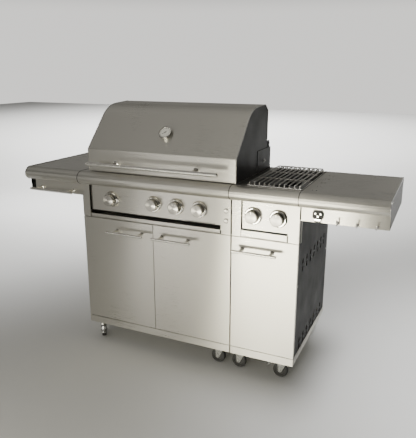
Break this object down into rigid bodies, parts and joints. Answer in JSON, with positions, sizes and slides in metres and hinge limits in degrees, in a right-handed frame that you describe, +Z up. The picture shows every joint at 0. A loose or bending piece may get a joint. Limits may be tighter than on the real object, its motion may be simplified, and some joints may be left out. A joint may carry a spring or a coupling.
{
  "type": "gas barbecue grill",
  "caption": "Stainless gas barbecue island: hooded main grill over a two-door cabinet, joined to a side-burner cart, with rounded side shelves, knobs, drip trays and swivel casters.",
  "frame": {"origin": "on the floor, under the middle of the whole grill's bounding box", "axes": "+X to the grill's right as seen from the front, +Y to its back, +Z up"},
  "size_m": [1.796, 0.6726, 1.2341],
  "materials": {
    "brushed_stainless": "fine horizontal brushing",
    "polished_stainless": "polished",
    "grey_paint": "dark grey satin paint",
    "dark_enamel": "dark heat-proof enamel",
    "cast_iron": "enamelled, slightly rough",
    "aluminised_steel": "dull aluminised sheet",
    "zinc_plate": "bright zinc plating",
    "black_rubber": "matt black"
  },
  "bodies": {
    "cart": {"main_base": "brushed_stainless", "side_base": "brushed_stainless", "main_side_left": "brushed_stainless", "side_panel_right": "grey_paint", "main_back_and_right_side": "brushed_stainless", "side_back_and_left_side": "brushed_stainless", "control_panel": "brushed_stainless", "side_control_panel": "brushed_stainless", "main_worktop": "brushed_stainless", "side_worktop": "brushed_stainless", "side_burner_pan": "dark_enamel", "left_shelf": "brushed_stainless", "right_shelf": "brushed_stainless", "towel_bar": "polished_stainless", "bottle_opener": "polished_stainless", "firebox": "aluminised_steel", "main_burners": "brushed_stainless", "heat_plate": "aluminised_steel", "cooking_grate_left": "cast_iron", "cooking_grate_right": "cast_iron", "rear_housing": "dark_enamel", "warming_rack": "polished_stainless", "side_burners": "cast_iron", "side_burner_grate": "polished_stainless"},
    "hood": {"hood_shell": "brushed_stainless", "hood_liner": "dark_enamel", "thermometer": "polished_stainless", "hood_handle": "polished_stainless"},
    "left_door": {"left_door": "brushed_stainless", "left_door_handle": "polished_stainless"},
    "right_door": {"right_door": "brushed_stainless", "right_door_handle": "polished_stainless"},
    "side_door": {"side_door": "brushed_stainless", "side_door_handle": "polished_stainless"},
    "grease_tray": {"grease_tray": "brushed_stainless"},
    "side_drip_tray": {"side_drip_tray": "brushed_stainless"},
    "main_knob_1": {"main_knob_1": "polished_stainless"},
    "main_knob_2": {"main_knob_2": "polished_stainless"},
    "main_knob_3": {"main_knob_3": "polished_stainless"},
    "main_knob_4": {"main_knob_4": "polished_stainless"},
    "side_knob_1": {"side_knob_1": "polished_stainless"},
    "side_knob_2": {"side_knob_2": "polished_stainless"},
    "igniter_button": {"igniter_button": "polished_stainless"},
    "light_button": {"light_button": "polished_stainless"},
    "front_main_left_fork": {"front_main_left_fork": "zinc_plate"},
    "front_main_left_wheel": {"front_main_left_wheel": "black_rubber"},
    "front_main_right_fork": {"front_main_right_fork": "zinc_plate"},
    "front_main_right_wheel": {"front_main_right_wheel": "black_rubber"},
    "front_side_left_fork": {"front_side_left_fork": "zinc_plate"},
    "front_side_left_wheel": {"front_side_left_wheel": "black_rubber"},
    "front_side_right_fork": {"front_side_right_fork": "zinc_plate"},
    "front_side_right_wheel": {"front_side_right_wheel": "black_rubber"},
    "rear_main_left_fork": {"rear_main_left_fork": "zinc_plate"},
    "rear_main_left_wheel": {"rear_main_left_wheel": "black_rubber"},
    "rear_main_right_fork": {"rear_main_right_fork": "zinc_plate"},
    "rear_main_right_wheel": {"rear_main_right_wheel": "black_rubber"},
    "rear_side_left_fork": {"rear_side_left_fork": "zinc_plate"},
    "rear_side_left_wheel": {"rear_side_left_wheel": "black_rubber"},
    "rear_side_right_fork": {"rear_side_right_fork": "zinc_plate"},
    "rear_side_right_wheel": {"rear_side_right_wheel": "black_rubber"}
  },
  "joints": [
    {"name": "hood_hinge", "type": "hinge", "parent": "cart", "child": "hood", "pos_m": [0, 0.17325, 1.035], "axis": [-1, 0, 0], "range_deg": [0, 88]},
    {"name": "left_door_hinge", "type": "hinge", "parent": "cart", "child": "left_door", "pos_m": [-0.564, -0.26975, 0.409], "axis": [0, 0, -1], "range_deg": [0, 100]},
    {"name": "right_door_hinge", "type": "hinge", "parent": "cart", "child": "right_door", "pos_m": [0.223, -0.26975, 0.409], "axis": [0, 0, 1], "range_deg": [0, 100]},
    {"name": "side_door_hinge", "type": "hinge", "parent": "cart", "child": "side_door", "pos_m": [0.5325, -0.26975, 0.409], "axis": [0, 0, 1], "range_deg": [0, 100]},
    {"name": "grease_tray_slide", "type": "slide", "parent": "cart", "child": "grease_tray", "axis": [0, -1, 0], "range_m": [0, 0.3]},
    {"name": "side_drip_tray_slide", "type": "slide", "parent": "cart", "child": "side_drip_tray", "axis": [0, -1, 0], "range_m": [0, 0.3]},
    {"name": "main_knob_1_turn", "type": "hinge", "parent": "cart", "child": "main_knob_1", "pos_m": [-0.404, -0.27875, 0.783], "axis": [0, -1, 0], "range_deg": [0, 190]},
    {"name": "main_knob_2_turn", "type": "hinge", "parent": "cart", "child": "main_knob_2", "pos_m": [-0.166, -0.27875, 0.783], "axis": [0, -1, 0], "range_deg": [0, 190]},
    {"name": "main_knob_3_turn", "type": "hinge", "parent": "cart", "child": "main_knob_3", "pos_m": [-0.047, -0.27875, 0.783], "axis": [0, -1, 0], "range_deg": [0, 190]},
    {"name": "main_knob_4_turn", "type": "hinge", "parent": "cart", "child": "main_knob_4", "pos_m": [0.072, -0.27875, 0.783], "axis": [0, -1, 0], "range_deg": [0, 190]},
    {"name": "side_knob_1_turn", "type": "hinge", "parent": "cart", "child": "side_knob_1", "pos_m": [0.332, -0.27875, 0.783], "axis": [0, -1, 0], "range_deg": [0, 190]},
    {"name": "side_knob_2_turn", "type": "hinge", "parent": "cart", "child": "side_knob_2", "pos_m": [0.445, -0.27875, 0.783], "axis": [0, -1, 0], "range_deg": [0, 190]},
    {"name": "igniter_button_press", "type": "slide", "parent": "cart", "child": "igniter_button", "axis": [0, 1, 0], "range_m": [0, 0.003], "stiffness_N_per_m": 600, "springref_m": -0.002},
    {"name": "light_button_press", "type": "slide", "parent": "cart", "child": "light_button", "axis": [0, 1, 0], "range_m": [0, 0.003], "stiffness_N_per_m": 600, "springref_m": -0.002},
    {"name": "front_main_left_swivel", "type": "hinge", "parent": "cart", "child": "front_main_left_fork", "pos_m": [-0.533, -0.21875, 0.09], "axis": [0, 0, 1], "continuous": true},
    {"name": "front_main_left_roll", "type": "hinge", "parent": "front_main_left_fork", "child": "front_main_left_wheel", "pos_m": [-0.52268, -0.2335, 0.03569], "axis": [-0.8192, -0.5736, 0], "continuous": true},
    {"name": "front_main_right_swivel", "type": "hinge", "parent": "cart", "child": "front_main_right_fork", "pos_m": [0.169, -0.21875, 0.09], "axis": [0, 0, 1], "continuous": true},
    {"name": "front_main_right_roll", "type": "hinge", "parent": "front_main_right_fork", "child": "front_main_right_wheel", "pos_m": [0.151, -0.21875, 0.03569], "axis": [0, 1, 0], "continuous": true},
    {"name": "front_side_left_swivel", "type": "hinge", "parent": "cart", "child": "front_side_left_fork", "pos_m": [0.279, -0.21875, 0.09], "axis": [0, 0, 1], "continuous": true},
    {"name": "front_side_left_roll", "type": "hinge", "parent": "front_side_left_fork", "child": "front_side_left_wheel", "pos_m": [0.261, -0.21875, 0.03569], "axis": [0, 1, 0], "continuous": true},
    {"name": "front_side_right_swivel", "type": "hinge", "parent": "cart", "child": "front_side_right_fork", "pos_m": [0.487, -0.21875, 0.09], "axis": [0, 0, 1], "continuous": true},
    {"name": "front_side_right_roll", "type": "hinge", "parent": "front_side_right_fork", "child": "front_side_right_wheel", "pos_m": [0.469, -0.21875, 0.03569], "axis": [0, 1, 0], "continuous": true},
    {"name": "rear_main_left_swivel", "type": "hinge", "parent": "cart", "child": "rear_main_left_fork", "pos_m": [-0.533, 0.27625, 0.09], "axis": [0, 0, 1], "continuous": true},
    {"name": "rear_main_left_roll", "type": "hinge", "parent": "rear_main_left_fork", "child": "rear_main_left_wheel", "pos_m": [-0.551, 0.27625, 0.03569], "axis": [0, 1, 0], "continuous": true},
    {"name": "rear_main_right_swivel", "type": "hinge", "parent": "cart", "child": "rear_main_right_fork", "pos_m": [0.169, 0.27625, 0.09], "axis": [0, 0, 1], "continuous": true},
    {"name": "rear_main_right_roll", "type": "hinge", "parent": "rear_main_right_fork", "child": "rear_main_right_wheel", "pos_m": [0.15209, 0.27009, 0.03569], "axis": [-0.342, 0.9397, 0], "continuous": true},
    {"name": "rear_side_left_swivel", "type": "hinge", "parent": "cart", "child": "rear_side_left_fork", "pos_m": [0.279, 0.27625, 0.09], "axis": [0, 0, 1], "continuous": true},
    {"name": "rear_side_left_roll", "type": "hinge", "parent": "rear_side_left_fork", "child": "rear_side_left_wheel", "pos_m": [0.26521, 0.26468, 0.03569], "axis": [-0.6428, 0.766, 0], "continuous": true},
    {"name": "rear_side_right_swivel", "type": "hinge", "parent": "cart", "child": "rear_side_right_fork", "pos_m": [0.487, 0.27625, 0.09], "axis": [0, 0, 1], "continuous": true},
    {"name": "rear_side_right_roll", "type": "hinge", "parent": "rear_side_right_fork", "child": "rear_side_right_wheel", "pos_m": [0.478, 0.26066, 0.03569], "axis": [-0.866, 0.5, 0], "continuous": true}
  ]
}
